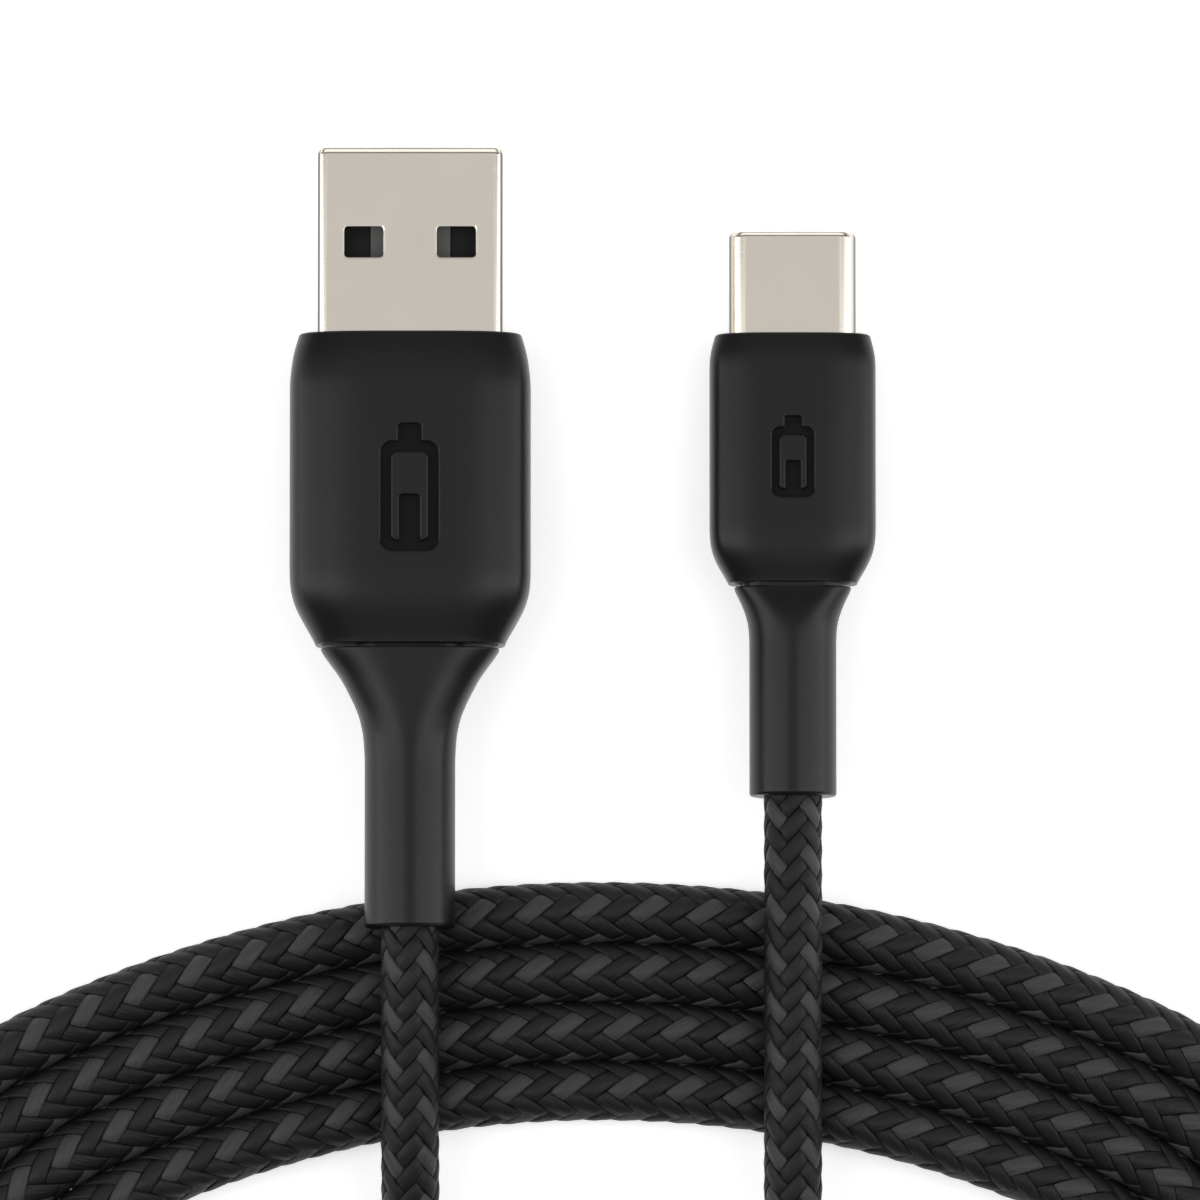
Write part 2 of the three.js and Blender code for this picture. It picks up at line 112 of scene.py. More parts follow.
class Finish(Nodes):
    """A material, whose maker sends what varies over it to its shader by drive()."""

    def __init__(self, name, colour, roughness, metallic=0.0, specular=0.5, **constants):
        self.material = bpy.data.materials.new(name)
        self.material.use_nodes = True
        super().__init__(self.material.node_tree)
        self.shader = self.tree.nodes["Principled BSDF"]
        self.material.diffuse_color = (*colour, 1)
        constants = {"Base Color": (*colour, 1), "Roughness": roughness,
                     "Metallic": metallic, "Specular IOR Level": specular, **constants}
        for socket, setting in constants.items():
            self.shader.inputs[socket].default_value = setting

    def place(self, scale=(1, 1, 1)):
        """The object's own coordinates, stretched by a Mapping node."""
        own = self.node("ShaderNodeTexCoord", output="Object")
        return self.node("ShaderNodeMapping", sockets={"Vector": own, "Scale": scale})

    def noise(self, scale, detail=3.0, stretch=(1, 1, 1), vector=None):
        """Smooth noise, 0 to 1, with that many waves to the metre before the stretch."""
        sockets = {"Vector": vector or self.place(stretch), "Scale": scale, "Detail": detail}
        return self.node("ShaderNodeTexNoise", sockets=sockets)

    def mix(self, share, first, second):
        """Two colours mixed by a share; each is a link or a plain colour."""
        first, second = [c if isinstance(c, Value) else (*c, 1) for c in (first, second)]
        sockets = {0: share, 6: first, 7: second}
        settings = {"data_type": "RGBA", "clamp_factor": True}
        return self.node("ShaderNodeMix", settings, sockets, output=2)

    def step(self, value, low, high):
        """0 below low, 1 above high, smooth between."""
        sockets = {"Value": value, "From Min": low, "From Max": high}
        settings = {"interpolation_type": "SMOOTHSTEP"}
        return self.node("ShaderNodeMapRange", settings, sockets)

    def drive(self, **given):
        """Links values to the shader's sockets, named with _ for each space."""
        for name, value in given.items():
            self.tree.links.new(value.socket, self.shader.inputs[name.replace("_", " ")])

    def bump(self, height, depth):
        """Raises the surface by the height, 0 to 1, times the depth in metres."""
        sockets = {"Height": height, "Distance": depth, "Strength": 1.0}
        self.drive(Normal=self.node("ShaderNodeBump", sockets=sockets))


MM = 0.001


def own_piece(name, mesh, finish):
    """An object at the origin that shows the mesh in the finish."""
    piece = bpy.data.objects.new(name, mesh)
    bpy.context.scene.collection.objects.link(piece)
    mesh.materials.append(finish.material)
    return piece


def grid_mesh(name, points, wrap_rows=False, wrap_columns=False, caps=False, smooth=True):
    """A surface of two parameters: points[i, j] in millimetres, rows i, columns j.
    A wrapped direction joins its last line to its first; caps close the row ends."""
    rows, columns = points.shape[:2]
    index = np.arange(rows * columns).reshape(rows, columns)
    if wrap_rows:
        index = np.concatenate([index, index[:1]], 0)
    if wrap_columns:
        index = np.concatenate([index, index[:, :1]], 1)
    corners = [index[:-1, :-1], index[:-1, 1:], index[1:, 1:], index[1:, :-1]]
    faces = np.stack(corners, -1).reshape(-1, 4).tolist()
    if caps:
        ring = np.arange(columns)
        faces += [ring[::-1].tolist(), (ring + (rows - 1) * columns).tolist()]
    mesh = bpy.data.meshes.new(name)
    mesh.from_pydata((points.reshape(-1, 3) * MM).tolist(), [], faces)
    mesh.polygons.foreach_set("use_smooth", np.full(len(faces), smooth))
    mesh.update()
    return mesh


FLOOR_HALF, FLOOR_DROP = 3000.0, 0.02

floor_paint = Finish("white_board", (0.93, 0.93, 0.93), 0.85, specular=0.1,
                     **{"Emission Color": (1, 1, 1, 1), "Emission Strength": 0.5})
floor_paint.bump(floor_paint.noise(1500.0), 4e-6)
across = np.linspace(-FLOOR_HALF, FLOOR_HALF, 7)
floor_x, floor_y = np.meshgrid(across, across)
floor_points = np.stack([floor_x, floor_y, np.full(floor_x.shape, -FLOOR_DROP)], -1)
table = own_piece("table_top", grid_mesh("table_top", floor_points), floor_paint)

# ------------------------------------------------------------- light and camera
# A tent of soft white light, brightest overhead, with long soft boxes to the left,
# right and back that draw pale bands down the grips. The camera is a long lens
# that looks straight down.
sky = bpy.data.worlds.new("tent")
bpy.context.scene.world = sky
sky.use_nodes = True
tent = Nodes(sky.node_tree)
direction = tent.node("ShaderNodeTexCoord", output="Generated")
height = tent.node("ShaderNodeSeparateXYZ", sockets={"Vector": direction}, output=2)
TENT_ROOF, TENT_SIDE, TENT_WALL = (0.76,) * 3, (0.2,) * 3, (0.5,) * 3
tent_light = tent.node("ShaderNodeValToRGB", {"stops": [
    (0.0, TENT_WALL), (0.1, TENT_WALL), (0.3, TENT_SIDE), (0.82, TENT_SIDE), (0.93, TENT_ROOF)]},
    {"Fac": height})
sky.node_tree.links.new(tent_light.socket, sky.node_tree.nodes["Background"].inputs["Color"])


def soft_box(name, place, size, power):
    """A rectangular lamp at place, in metres, that faces the middle of the cable."""
    lamp = bpy.data.lights.new(name, "AREA")
    lamp.shape = "RECTANGLE"
    lamp.size, lamp.size_y = size
    lamp.energy = power
    stand = bpy.data.objects.new(name, lamp)
    bpy.context.scene.collection.objects.link(stand)
    stand.location = place
    aim = Vector((0, 0, 0)) - stand.location
    stand.rotation_mode = "QUATERNION"
    stand.rotation_quaternion = aim.to_track_quat("-Z", "Y")
    stand.visible_camera = False


soft_box("left_box", (-0.56, 0.0, 0.36), (0.25, 1.3), 2.8)
soft_box("right_box", (0.56, 0.0, 0.36), (0.25, 1.3), 2.8)
soft_box("back_box", (0.0, 0.62, 0.36), (1.0, 0.22), 0.9)

FRAMED_WIDTH = 77.92
FRAMED_HEIGHT_UP = 4.0
LENS, SENSOR = 400.0, 36.0
LOOK_RIGHT, LOOK_BACK = 12.31, 17.45
a_low, a_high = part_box("usb_a_housing")
eye = bpy.data.cameras.new("overhead")
eye.lens, eye.sensor_width = LENS, SENSOR
eye.clip_start, eye.clip_end = 0.05, 20.0
camera = bpy.data.objects.new("overhead", eye)
bpy.context.scene.collection.objects.link(camera)
camera.location = ((a_low.x + a_high.x) / 2 + LOOK_RIGHT * MM, a_high.y - LOOK_BACK * MM,
                   (FRAMED_WIDTH * LENS / SENSOR + FRAMED_HEIGHT_UP) * MM)
bpy.context.scene.camera = camera
bpy.context.scene.view_settings.view_transform = "Standard"

# --------------------------------------------------------------------- the cord
# A metre of round cable: four conductors under a black jacket, sleeved in a
# braid. It lies in four flat turns, and a tail runs over them to each plug.
CORD_D = 3.72
LANE_PITCH = 3.84
TURNS = 4
ARC_R, BEND_R, BEND_HALF = 86.1, 21.4, 28.58
TAIL_BEND = 12.0
CORE_R = 1.36
INSIDE_BOOT = 1.5
STRAIGHT_OUT = 6.0
LANE_CHANGE = 16.5
OVER_TABLE, OVER_COIL = 0.07, 0.3
SAMPLE = 0.25
CLIMB_SAMPLES = 68
ROUNDED_SAMPLES = 10

coil_low, coil_high = [np.array(corner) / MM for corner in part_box("cord_coil")]
cord_r = CORD_D / 2
arc_x = (coil_low[0] + coil_high[0]) / 2
arc_y = coil_high[1] - ARC_R - cord_r
bend_y = coil_low[1] + BEND_R + cord_r
tangent = math.degrees(math.atan2(bend_y - arc_y, BEND_HALF))
base_y = coil_low[1] + cord_r
resting = cord_r + OVER_TABLE
over_coil = CORD_D + cord_r + OVER_COIL


def plug_frame(mount, above):
    """A plug's own frame: the middle of its front face, its axis and its upward side.
    The mount's point stands that far above the axis, on the front face."""
    stated = next(m for m in frame["record"]["mounts"] if m["name"] == mount)
    along = np.array(stated["axis"], float)
    along /= np.linalg.norm(along)
    up = np.cross((1.0, 0, 0), along)
    return np.array(stated["pos_m"]) / MM - above * up, along, up


A_FRAME = plug_frame("usb_a_face", 3.0)
C_FRAME = plug_frame("usb_c_face", 2.0)
A_BOOT_END, C_BOOT_END = 38.5, 30.0


def round_bend(x, y, r, start, stop):
    """Points on a circle about (x, y), from one angle to another in degrees: two to the
    millimetre or so, since an angle in degrees times r is 57 times the arc's length."""
    count = max(3, int(abs(stop - start) * r / 30))
    t = np.radians(np.linspace(start, stop, count))
    return np.stack([x + r * np.cos(t), y + r * np.sin(t), t * 0], -1)


def behind(plug, distance):
    """The point on a plug's axis that far behind its front face."""
    face, forward, _ = plug
    return face - distance * forward


def smoothed(line, samples):
    """A line's points averaged with their neighbours by a bell curve that many samples
    wide, after each end is carried on straight so that it stays where it is."""
    pad = 3 * samples
    bell = np.exp(-0.5 * (np.arange(-pad, pad + 1) / samples) ** 2)
    before = line[0] + (line[0] - line[1]) * np.arange(pad, 0, -1)[:, None]
    after = line[-1] + (line[-1] - line[-2]) * np.arange(1, pad + 1)[:, None]
    padded = np.concatenate([before, line, after])
    return np.stack([np.convolve(padded[:, k], bell / bell.sum(), "valid")
                     for k in range(3)], -1)


def cord_route():
    """The cord's middle line from one plug to the other, every half millimetre.
    Turns are arcs joined by straight base runs that step out a lane by a smooth S;
    heights are set at chosen points, and both are rounded by a running average."""
    a_x, c_x = A_FRAME[0][0], C_FRAME[0][0]
    left, right = arc_x - BEND_HALF, arc_x + BEND_HALF
    inner = BEND_R - (TURNS - 1) * LANE_PITCH
    a_out = behind(A_FRAME, A_BOOT_END + STRAIGHT_OUT)
    a_in = behind(A_FRAME, A_BOOT_END - INSIDE_BOOT)
    c_out = behind(C_FRAME, C_BOOT_END + STRAIGHT_OUT)
    c_in = behind(C_FRAME, C_BOOT_END - INSIDE_BOOT)
    turn_y = bend_y - inner + TAIL_BEND
    parts = [[a_in], [a_out], [[a_x, turn_y + 0.5, 0]],
             round_bend(a_x + TAIL_BEND, turn_y, TAIL_BEND, 180, 270)]
    for lap in range(TURNS):
        r, arc = inner + lap * LANE_PITCH, ARC_R - (TURNS - 1 - lap) * LANE_PITCH
        parts.append(round_bend(right, bend_y, r, -90, tangent))
        parts.append(round_bend(arc_x, arc_y, arc, tangent, 180 - tangent))
        parts.append(round_bend(left, bend_y, r, 180 - tangent, 270))
        if lap < TURNS - 1:
            s = np.linspace(0.05, 1, 14)[:, None]
            sway = s * s * (3 - 2 * s)
            drift = [left + LANE_CHANGE * s, bend_y - r - LANE_PITCH * sway, s * 0]
            parts.append(np.concatenate(drift, 1))
    parts += [round_bend(c_x - TAIL_BEND, base_y + TAIL_BEND, TAIL_BEND, -90, 0), [c_out], [c_in]]
    rough = np.concatenate([np.asarray(part, float) for part in parts])
    flat = np.concatenate([[0], np.cumsum(np.linalg.norm(np.diff(rough[:, :2], axis=0), axis=1))])
    at = np.arange(0, flat[-1], SAMPLE)
    line = np.stack([np.interp(at, flat, rough[:, k]) for k in range(2)], -1)

    y_along = line[:, 1]
    first = np.argmax(y_along < turn_y)
    last = len(at) - np.argmax(y_along[::-1] < base_y + TAIL_BEND)
    gap_in = arc_y + math.sqrt((ARC_R - 3 * LANE_PITCH - cord_r) ** 2 - (a_x - arc_x) ** 2)
    a_slope = [tuple(behind(A_FRAME, A_BOOT_END + d)[1:]) for d in (-2, 3)]
    down = a_slope + [(gap_in + 5.7, over_coil + 0.4), (gap_in - 0.3, over_coil),
                      (gap_in - 4, 4.6), (gap_in - 8, 2.75), (gap_in - 12.5, resting + 0.1),
                      (gap_in - 16, resting)]
    down = np.array(down)[::-1]
    c_slope = [tuple(behind(C_FRAME, C_BOOT_END + d)[1:]) for d in (-2, 3)]
    up = np.array([(base_y + TAIL_BEND, over_coil), (gap_in - 16.2, 5.2), (gap_in - 10.7, 4.8),
                   (gap_in - 5.2, 5.2), (gap_in, over_coil), (gap_in + 13.8, over_coil + 0.1)]
                  + c_slope[::-1])
    height = np.full(len(at), resting)
    height[:first] = np.interp(y_along[:first], down[:, 0], down[:, 1])
    height[last:] = np.interp(y_along[last:], up[:, 0], up[:, 1])
    turn = TAIL_BEND * math.pi / 2 / SAMPLE
    climb_end = last - turn - (c_x - TAIL_BEND - (left + 9)) / SAMPLE
    climb = np.clip((np.arange(len(at)) - climb_end + CLIMB_SAMPLES) / CLIMB_SAMPLES, 0, 1)
    rise = resting + (over_coil - resting) * climb * climb * (3 - 2 * climb)
    height[first:last] = rise[first:last]
    line = smoothed(np.concatenate([line, height[:, None]], 1), ROUNDED_SAMPLES)
    run = np.concatenate([[0], np.cumsum(np.linalg.norm(np.diff(line, axis=0), axis=1))])
    at = np.linspace(0, run[-1], int(run[-1] * 2))
    return at, np.stack([np.interp(at, run, line[:, k]) for k in range(3)], -1)


cord_at, cord_line = cord_route()
cord_length = cord_at[-1]
cord_tangent = np.gradient(cord_line, cord_at, axis=0)
cord_tangent /= np.linalg.norm(cord_tangent, axis=1)[:, None]
cord_up = np.array([0, 0, 1.0]) - cord_tangent[:, 2:] * cord_tangent
cord_up /= np.linalg.norm(cord_up, axis=1)[:, None]
cord_side = np.cross(cord_tangent, cord_up)


def along_cord(at, table):
    """A table of vectors kept along the cord, read at any distances along it."""
    return np.stack([np.interp(at, cord_at, table[:, k]) for k in range(3)], -1)


def round_cord(at, angle, radius):
    """The point at a distance along the cord, an angle round it from its top, and a radius."""
    spoke = (np.cos(angle)[..., None] * along_cord(at, cord_up)
             + np.sin(angle)[..., None] * along_cord(at, cord_side))
    return along_cord(at, cord_line) + radius[..., None] * spoke


jacket = Finish("cable_jacket", (0.004, 0.004, 0.004), 0.7, specular=0.15)
speck = jacket.noise(2500.0)
jacket.drive(Base_Color=jacket.mix(speck, (0.003, 0.003, 0.003), (0.006, 0.006, 0.006)))
core_at, core_angle = np.meshgrid(np.linspace(0, cord_length, int(cord_length / 1.6)),
                                  np.arange(12) * math.pi / 6, indexing="ij")
core_points = round_cord(core_at, core_angle, np.full(core_at.shape, CORE_R))
core_mesh = grid_mesh("cord_core", core_points, wrap_columns=True, caps=True)
core = own_piece("cord_core", core_mesh, jacket)
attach(core, "cord")
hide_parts("cord_coil", "cord_tail_a", "cord_tail_c")

# ------------------------------------------------------------ the braided sleeve
# Sixteen flat bundles of nylon yarn, eight each way round, plaited two over and
# two under, so that ribs of slanting stitches run along the cord. Every second
# bundle of the left-hand lay is a lighter grey.
BUNDLES = 8
LAY_TAIL, LAY_TURN = 12.5, 14.9
SLEEVE_R, WEAVE = 1.67, 0.12
LOOSER_IN_TURNS = 0.11
FILL, SQUARENESS = 1.07, 4.0
BUNDLE_RISE, BUNDLE_DROP = 0.15, 0.035
STEPS_IN_TURN = 64
TAIL_UNTIL, TAIL_FADE = 40.0, 25.0
RIB_TURN = -32.5

tail_share = np.clip((np.minimum(cord_at, cord_length - cord_at) - TAIL_UNTIL) / TAIL_FADE, 0, 1)
tail_share = 1 - tail_share * tail_share * (3 - 2 * tail_share)
lay_along = LAY_TURN + (LAY_TAIL - LAY_TURN) * tail_share
twist_along = 2 * math.pi * np.concatenate(
    [[0], np.cumsum(np.diff(cord_at) / ((lay_along[1:] + lay_along[:-1]) / 2))])
rib_along = math.radians(RIB_TURN) * (1 - tail_share)
sleeve_along = SLEEVE_R + LOOSER_IN_TURNS * (1 - tail_share)


def bundle_points(hand, number):
    """One bundle: a flat ribbon with an arched back on a helix about the cord. Its radius
    swings out for two crossings and in for two: a squared-off cosine of the count of
    bundles crossed, so that it dives along the edge of the bundle that covers it."""
    steps = np.arange(1, int(twist_along[-1] / (2 * math.pi) * STEPS_IN_TURN))
    at = np.interp(steps * 2 * math.pi / STEPS_IN_TURN, twist_along, cord_at)[:, None]
    q = np.array([-1.0, -0.72, 0.0, 0.72, 1.0])[None, :]
    lay = np.interp(at, cord_at, lay_along)
    middle = np.interp(at, cord_at, sleeve_along)
    slope = np.arctan2(2 * math.pi * middle, lay)
    half = FILL * math.pi * middle / BUNDLES * np.cos(slope)
    shifted = np.clip(at - hand * half * q * np.sin(slope), 0, cord_length)
    share = math.pi / BUNDLES if hand < 0 else 0
    own = hand * np.interp(at, cord_at, twist_along) + 2 * math.pi * number / BUNDLES + share
    own = own + half * q * np.cos(slope) / middle
    crossed = own + hand * np.interp(shifted, cord_at, twist_along) + share
    crossed = crossed * BUNDLES / (2 * math.pi) - 0.5
    wave = np.cos(math.pi / 2 * (number + crossed) + math.pi / 4)
    swing = np.tanh(SQUARENESS * wave) / math.tanh(SQUARENESS)
    arch = BUNDLE_RISE * (1 - np.abs(q) ** 3.5) - BUNDLE_DROP
    radius = middle + hand * WEAVE * swing + arch
    return round_cord(shifted, own + np.interp(shifted, cord_at, rib_along), radius)


ROW_LENGTH, YARN_SHIFT = 0.23, 3.7


def sleeve_mesh(name, hand, numbers):
    """Some bundles of one hand, each a grid closed at both ends, with its own shade and a
    UV map: 0 to 1 across the bundle's back, and millimetres along it."""
    strands = np.stack([bundle_points(hand, n) for n in numbers])
    count, rows, columns = strands.shape[:3]
    index = np.arange(count * rows * columns).reshape(count, rows, columns)
    index = np.concatenate([index, index[:, :, :1]], 2)
    corners = [index[:, :-1, :-1], index[:, :-1, 1:], index[:, 1:, 1:], index[:, 1:, :-1]]
    faces = np.stack(corners, -1).reshape(-1, 4).tolist()
    faces += index[:, 0, -2::-1].tolist() + index[:, -1, :-1].tolist()
    mesh = bpy.data.meshes.new(name)
    mesh.from_pydata((strands.reshape(-1, 3) * MM).tolist(), [], faces)
    flat = np.tile(np.arange(columns) == columns - 1, count * (rows - 1))
    flat = np.append(flat, np.full(2 * count, True))
    mesh.polygons.foreach_set("use_smooth", ~flat)
    shade = mesh.attributes.new("shade", "FLOAT", "POINT")
    lighter = np.repeat(np.array(numbers) % 2 * (hand < 0), rows * columns)
    shade.data.foreach_set("value", lighter.astype(np.float32))
    u = np.broadcast_to(np.append(np.linspace(0, 1, columns), 1.3), (count, rows, columns + 1))
    v = np.broadcast_to((np.arange(rows) * ROW_LENGTH)[None, :, None], u.shape)
    apart = np.arange(count)[:, None, None] * YARN_SHIFT
    grid = np.stack([u + apart, v], -1)
    loops = np.stack([grid[:, :-1, :-1], grid[:, :-1, 1:], grid[:, 1:, 1:], grid[:, 1:, :-1]], -2)
    uv = mesh.uv_layers.new(name="yarn")
    ends = np.zeros(2 * count * columns * 2)
    uv.data.foreach_set("uv", np.append(loops, ends).astype(np.float32))
    mesh.update()
    return mesh


yarn = Finish("nylon_yarn", (0.012, 0.012, 0.012), 0.5, specular=0.32)
yarn_uv = yarn.node("ShaderNodeUVMap", {"uv_map": "yarn"})
fibre_way = yarn.node("ShaderNodeMapping", sockets={"Vector": yarn_uv, "Scale": (11, 0.55, 1)})
fibre = yarn.noise(1.0, 2.0, vector=fibre_way)
patch = yarn.noise(900.0, 2.0)
light = yarn.node("ShaderNodeAttribute", {"attribute_name": "shade"}, output="Fac")
dark_bundle = yarn.mix(fibre, (0.003, 0.003, 0.0031), (0.009, 0.009, 0.0092))
light_bundle = yarn.mix(fibre, (0.024, 0.024, 0.0243), (0.058, 0.058, 0.0585))
yarn.drive(Base_Color=yarn.mix(light, dark_bundle, light_bundle),
           Roughness=0.42 + 0.25 * patch)
yarn.bump(fibre, 5e-5)
for name, hand, numbers in (("sleeve_right_lay_front", 1, (0, 1, 2, 3)),
                            ("sleeve_right_lay_back", 1, (4, 5, 6, 7)),
                            ("sleeve_left_lay_front", -1, (0, 1, 2, 3)),
                            ("sleeve_left_lay_back", -1, (4, 5, 6, 7))):
    sleeve = own_piece(name, sleeve_mesh(name, hand, numbers), yarn)
    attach(sleeve, "cord")
exit_point = behind(A_FRAME, A_BOOT_END) * MM

# -------------------------------------------------------------------- the grips
# Each plug's grip is one charcoal soft-touch moulding with rounded-square sides
# that narrow to the boot. A battery sign is sunk 0.3 mm into its upper face; its floor is rougher,
# and painted near-black as shade in the recess.
FIT = 0.05
SEAM = 0.22
EDGE, REAR_EDGE = 0.16, 0.08
SIGN_DEPTH, SIGN_WALL = 0.3, 0.1
FINE, COARSE = 0.07, 0.24
# Sizes in mm. In "nose" and "tail": distance behind the front face, and how far each side
# draws in there. In "spread": distance behind the grip, share of the way from the round
# neck to the grip's section, and the squareness there.
A = {"half": 7.82, "high": 4.0, "length": 20.2, "front": 1.2, "shell": (12.0, 4.5, 0.62),
     "mould": (0.95, 1.05, 4.5, 3.4), "neck": 2.935, "boot_wall": 1.075, "spigot": 3.2, "step": 0.15,
     "reach": 12.06, "rear": 6.5, "mouth": 0.16, "sheet": 0.3, "frame": A_FRAME,
     "boot_end": A_BOOT_END, "jacket": 6.3, "sign": (3.7, 8.2, -10.2), "square": 3.6,
     "nose": [(0, 0.64), (0.8, 0.35), (1.75, 0.15), (3.05, 0)],
     "tail": [(15.7, 0), (16.7, 0.07), (17.7, 0.36), (18.6, 0.84), (19.4, 1.3), (20.2, 1.77)],
     "spread": [(SEAM, 1, 3.4), (2.1, 0.53, 3.1), (3.5, 0.283, 2.8), (4.6, 0.123, 2.5),
                (5.8, 0.033, 2.2), (7.3, 0, 2), (20, 0, 2)]}
C = {"half": 5.4, "high": 3.0, "length": 16.2, "front": 1.1, "shell": (8.25, 2.4, 1.19),
     "mould": (0.725, 1.05, 5.0, 2.8), "neck": 2.825, "boot_wall": 0.965, "spigot": 2.6, "step": 0.2,
     "reach": 6.72, "rear": 5.4, "mouth": 0.12, "sheet": 0.25, "frame": C_FRAME,
     "boot_end": C_BOOT_END, "jacket": 4.0, "sign": (2.7, 5.2, -8.1), "square": 3.6,
     "nose": [(0, 0.4), (0.8, 0.13), (1.6, 0)],
     "tail": [(12.9, 0), (13.8, 0.08), (14.5, 0.3), (15.4, 0.78), (16.2, 1.32)],
     "spread": [(SEAM, 1, 3.2), (1.0, 0.6, 2.8), (1.8, 0.284, 2.4), (2.6, 0.064, 2.1),
                (3.5, 0, 2), (20, 0, 2)]}
HEIGHT_SHARE = 0.52


def squircle(half, high, power, t):
    """Points of a rounded-square oval: cosine and sine of t raised to 2 / power."""
    c, s = np.cos(t), np.sin(t)
    x = half * np.sign(c) * np.abs(c) ** (2 / power)
    z = high * np.sign(s) * np.abs(s) ** (2 / power)
    return np.stack(np.broadcast_arrays(x, z), -1)


def round_rectangle(half, high, r):
    """A dense outline of a rectangle whose corners are quarter circles of radius r."""
    t = np.linspace(0, 2 * math.pi, 365)[:-1]
    middle = np.stack([np.where(np.cos(t) >= 0, half - r, r - half),
                       np.where(np.sin(t) >= 0, high - r, r - high)], -1)
    corners = middle + r * np.stack([np.cos(t), np.sin(t)], -1)
    return np.concatenate([[[half, 0]], corners, [[half, 0]]])


def at_shares(outline, shares):
    """Points at shares of the way round a closed outline."""
    run = np.concatenate([[0], np.cumsum(np.linalg.norm(np.diff(outline, axis=0), axis=1))])
    return np.stack([np.interp(shares * run[-1], run, outline[:, k]) for k in (0, 1)], -1)


def even_turns(half, high, power, count):
    """Values of a squircle's t that space its points evenly, closer at the corners."""
    t = np.linspace(0, 2 * math.pi, 2881)
    steps = np.diff(squircle(half, high, power, t), axis=0)
    bend = np.abs(np.diff(np.unwrap(np.arctan2(steps[:, 1], steps[:, 0])), prepend=math.pi / 2))
    cost = np.linalg.norm(steps, axis=1) + 0.8 * bend
    run = np.concatenate([[0], np.cumsum(cost)])
    return np.interp(np.arange(count) / count * run[-1], run, t)


def eased(at, table, column=1, blur=0.35):
    """A table's column read at distances, its corners rounded by a running average."""
    table = np.array(table, float)
    fine = np.arange(table[0, 0] - 3, table[-1, 0] + 3, 0.05)
    kernel = np.exp(-0.5 * (np.arange(-24, 25) * 0.05 / blur) ** 2)
    values = np.interp(fine, table[:, 0], table[:, column])
    soft = np.convolve(np.pad(values, 24, "edge"), kernel / kernel.sum(), "valid")
    return np.interp(at, fine, soft)


def fillet(distance, r):
    """How far a rounded edge of radius r falls back at a distance from its face."""
    short = np.clip(r - distance, 0, r)
    return r - np.sqrt(r * r - short * short)


def level_ring(points, y):
    """Section points (x, z) set at y, as a ring of the plug's own frame."""
    points = np.asarray(points)
    return np.stack([points[..., 0], np.broadcast_to(y, points.shape[:-1]), points[..., 1]], -1)


def in_plug(plug, points):
    """Points of a plug's own frame, in millimetres, carried into the shared frame."""
    start, along, up = plug["frame"]
    return start + points @ np.array([[1.0, 0, 0], along, up])


def plate(x, y, width, length, r, middle):
    """Signed distance, negative inside, to a plate with round corners on the y axis."""
    over_x = np.abs(x) - width / 2 + r
    over_y = np.abs(y - middle) - length / 2 + r
    outside = np.hypot(np.maximum(over_x, 0), np.maximum(over_y, 0))
    return outside + np.minimum(np.maximum(over_x, over_y), 0) - r


def battery(x, y, width, length, middle):
    """Signed distance to a battery sign: an outline, its terminal and a level bar."""
    line, body = 0.17 * width, 0.86 * length
    low = middle - length / 2
    outer = plate(x, y, width, body, 0.2 * width, low + body / 2)
    inner = plate(x, y, width - 2 * line, body - 2 * line, 0.1 * width, low + body / 2)
    terminal = plate(x, y, 0.4 * width, 0.16 * length, 0.06 * width, middle + 0.42 * length)
    level = plate(x, y, width - 3.8 * line, 0.42 * body, 0.06 * width, low + 0.3 * body)
    return np.minimum(np.maximum(outer, -inner), np.minimum(terminal, level))


def spigot_outline(plug, grow):
    """The section of the boot's tongue that the grip holds, larger all round by grow."""
    half, high = plug["neck"] + plug["boot_wall"] / 2 + grow, cord_r + 0.35 + grow
    return round_rectangle(half, high, (cord_r + 0.35) * 0.6 + grow)


